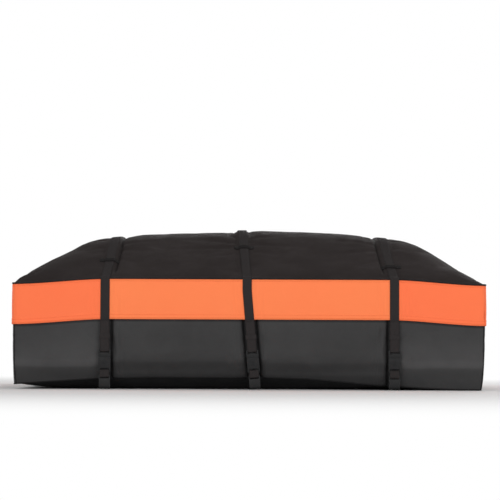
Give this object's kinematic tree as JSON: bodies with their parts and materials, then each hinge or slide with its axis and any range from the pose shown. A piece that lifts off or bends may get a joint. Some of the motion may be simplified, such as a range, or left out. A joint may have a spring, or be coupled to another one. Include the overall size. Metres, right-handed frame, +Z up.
{
  "type": "cargo bag",
  "caption": "Soft rooftop cargo bag: fabric box with a domed lid, a zip under a storm flap, webbing straps, buckles and door hooks.",
  "frame": {"origin": "under the middle of the bag, on the surface that it lies on", "axes": "+X along the bag's length, -Y out of the front, which has the buckles, +Z up"},
  "size_m": [1.3, 1.02, 0.4595],
  "materials": {
    "black_tarpaulin": "coated, low sheen",
    "piping": "matt binding",
    "orange_tarpaulin": "coated, low sheen",
    "zip_tape": "woven tape with a nylon coil",
    "slider_metal": "black lacquer",
    "webbing": "ribbed polyester webbing",
    "buckle_plastic": "moulded, fine grain",
    "hook_steel": "black dip coating"
  },
  "bodies": {
    "bag": {"bottom_panel": "black_tarpaulin", "front_wall": "black_tarpaulin", "back_wall": "black_tarpaulin", "left_wall": "black_tarpaulin", "right_wall": "black_tarpaulin", "lid_skirt": "black_tarpaulin", "lid_panel": "black_tarpaulin", "lid_piping": "piping", "front_storm_flap": "orange_tarpaulin", "back_storm_flap": "orange_tarpaulin", "left_storm_flap": "orange_tarpaulin", "right_storm_flap": "orange_tarpaulin", "zip_lower_tape": "zip_tape", "zip_upper_tape": "zip_tape", "left_strap": "webbing", "middle_strap": "webbing", "right_strap": "webbing", "left_front_strap_keeper": "webbing", "left_back_strap_keeper": "webbing", "middle_front_strap_keeper": "webbing", "middle_back_strap_keeper": "webbing", "right_front_strap_keeper": "webbing", "right_back_strap_keeper": "webbing", "left_hook_webbing": "webbing", "middle_hook_webbing": "webbing", "right_hook_webbing": "webbing", "left_buckle_socket": "buckle_plastic", "middle_buckle_socket": "buckle_plastic", "right_buckle_socket": "buckle_plastic"},
    "left_plug": {"left_buckle_plug": "buckle_plastic", "left_tail_keeper": "webbing"},
    "middle_plug": {"middle_buckle_plug": "buckle_plastic", "middle_tail_keeper": "webbing"},
    "right_plug": {"right_buckle_plug": "buckle_plastic", "right_tail_keeper": "webbing"},
    "left_slider": {"left_zip_slider": "slider_metal"},
    "right_slider": {"right_zip_slider": "slider_metal"},
    "left_pull": {"left_zip_pull": "buckle_plastic"},
    "right_pull": {"right_zip_pull": "buckle_plastic"},
    "left_front_door_hook": {"left_front_hook": "hook_steel"},
    "middle_front_door_hook": {"middle_front_hook": "hook_steel"},
    "right_front_door_hook": {"right_front_hook": "hook_steel"},
    "left_back_door_hook": {"left_back_hook": "hook_steel"},
    "middle_back_door_hook": {"middle_back_hook": "hook_steel"},
    "right_back_door_hook": {"right_back_hook": "hook_steel"}
  },
  "joints": [
    {"name": "left_buckle_release", "type": "slide", "parent": "bag", "child": "left_plug", "axis": [0, 0, 1], "range_m": [0, 0.026], "deforming": ["left_strap"]},
    {"name": "middle_buckle_release", "type": "slide", "parent": "bag", "child": "middle_plug", "axis": [-0.0856, 0, 0.9963], "range_m": [0, 0.026], "deforming": ["middle_strap"]},
    {"name": "right_buckle_release", "type": "slide", "parent": "bag", "child": "right_plug", "axis": [0, 0, 1], "range_m": [0, 0.026], "deforming": ["right_strap"]},
    {"name": "left_zip_run", "type": "slide", "parent": "bag", "child": "left_slider", "axis": [-1, 0, 0], "range_m": [0, 0.58]},
    {"name": "right_zip_run", "type": "slide", "parent": "bag", "child": "right_slider", "axis": [1, 0, 0], "range_m": [0, 0.58]},
    {"name": "left_pull_swing", "type": "hinge", "parent": "left_slider", "child": "left_pull", "pos_m": [-0.03, -0.493, 0.236], "axis": [0, 1, 0], "range_deg": [-75, 75]},
    {"name": "right_pull_swing", "type": "hinge", "parent": "right_slider", "child": "right_pull", "pos_m": [0.03, -0.493, 0.236], "axis": [0, 1, 0], "range_deg": [-75, 75]},
    {"name": "left_front_hook_swing", "type": "hinge", "parent": "bag", "child": "left_front_door_hook", "pos_m": [-0.397, -0.5041, 0.0368], "axis": [-1, 0, 0], "range_deg": [0, 90]},
    {"name": "middle_front_hook_swing", "type": "hinge", "parent": "bag", "child": "middle_front_door_hook", "pos_m": [0.01298, -0.5041, 0.03667], "axis": [-0.9963, 0, -0.0856], "range_deg": [0, 90]},
    {"name": "right_front_hook_swing", "type": "hinge", "parent": "bag", "child": "right_front_door_hook", "pos_m": [0.397, -0.5041, 0.0368], "axis": [-1, 0, 0], "range_deg": [0, 90]},
    {"name": "left_back_hook_swing", "type": "hinge", "parent": "bag", "child": "left_back_door_hook", "pos_m": [-0.397, 0.5053, 0.0368], "axis": [1, 0, 0], "range_deg": [0, 90]},
    {"name": "middle_back_hook_swing", "type": "hinge", "parent": "bag", "child": "middle_back_door_hook", "pos_m": [-0.03475, 0.5053, 0.0368], "axis": [1, 0, 0], "range_deg": [0, 90]},
    {"name": "right_back_hook_swing", "type": "hinge", "parent": "bag", "child": "right_back_door_hook", "pos_m": [0.397, 0.5053, 0.0368], "axis": [1, 0, 0], "range_deg": [0, 90]}
  ]
}
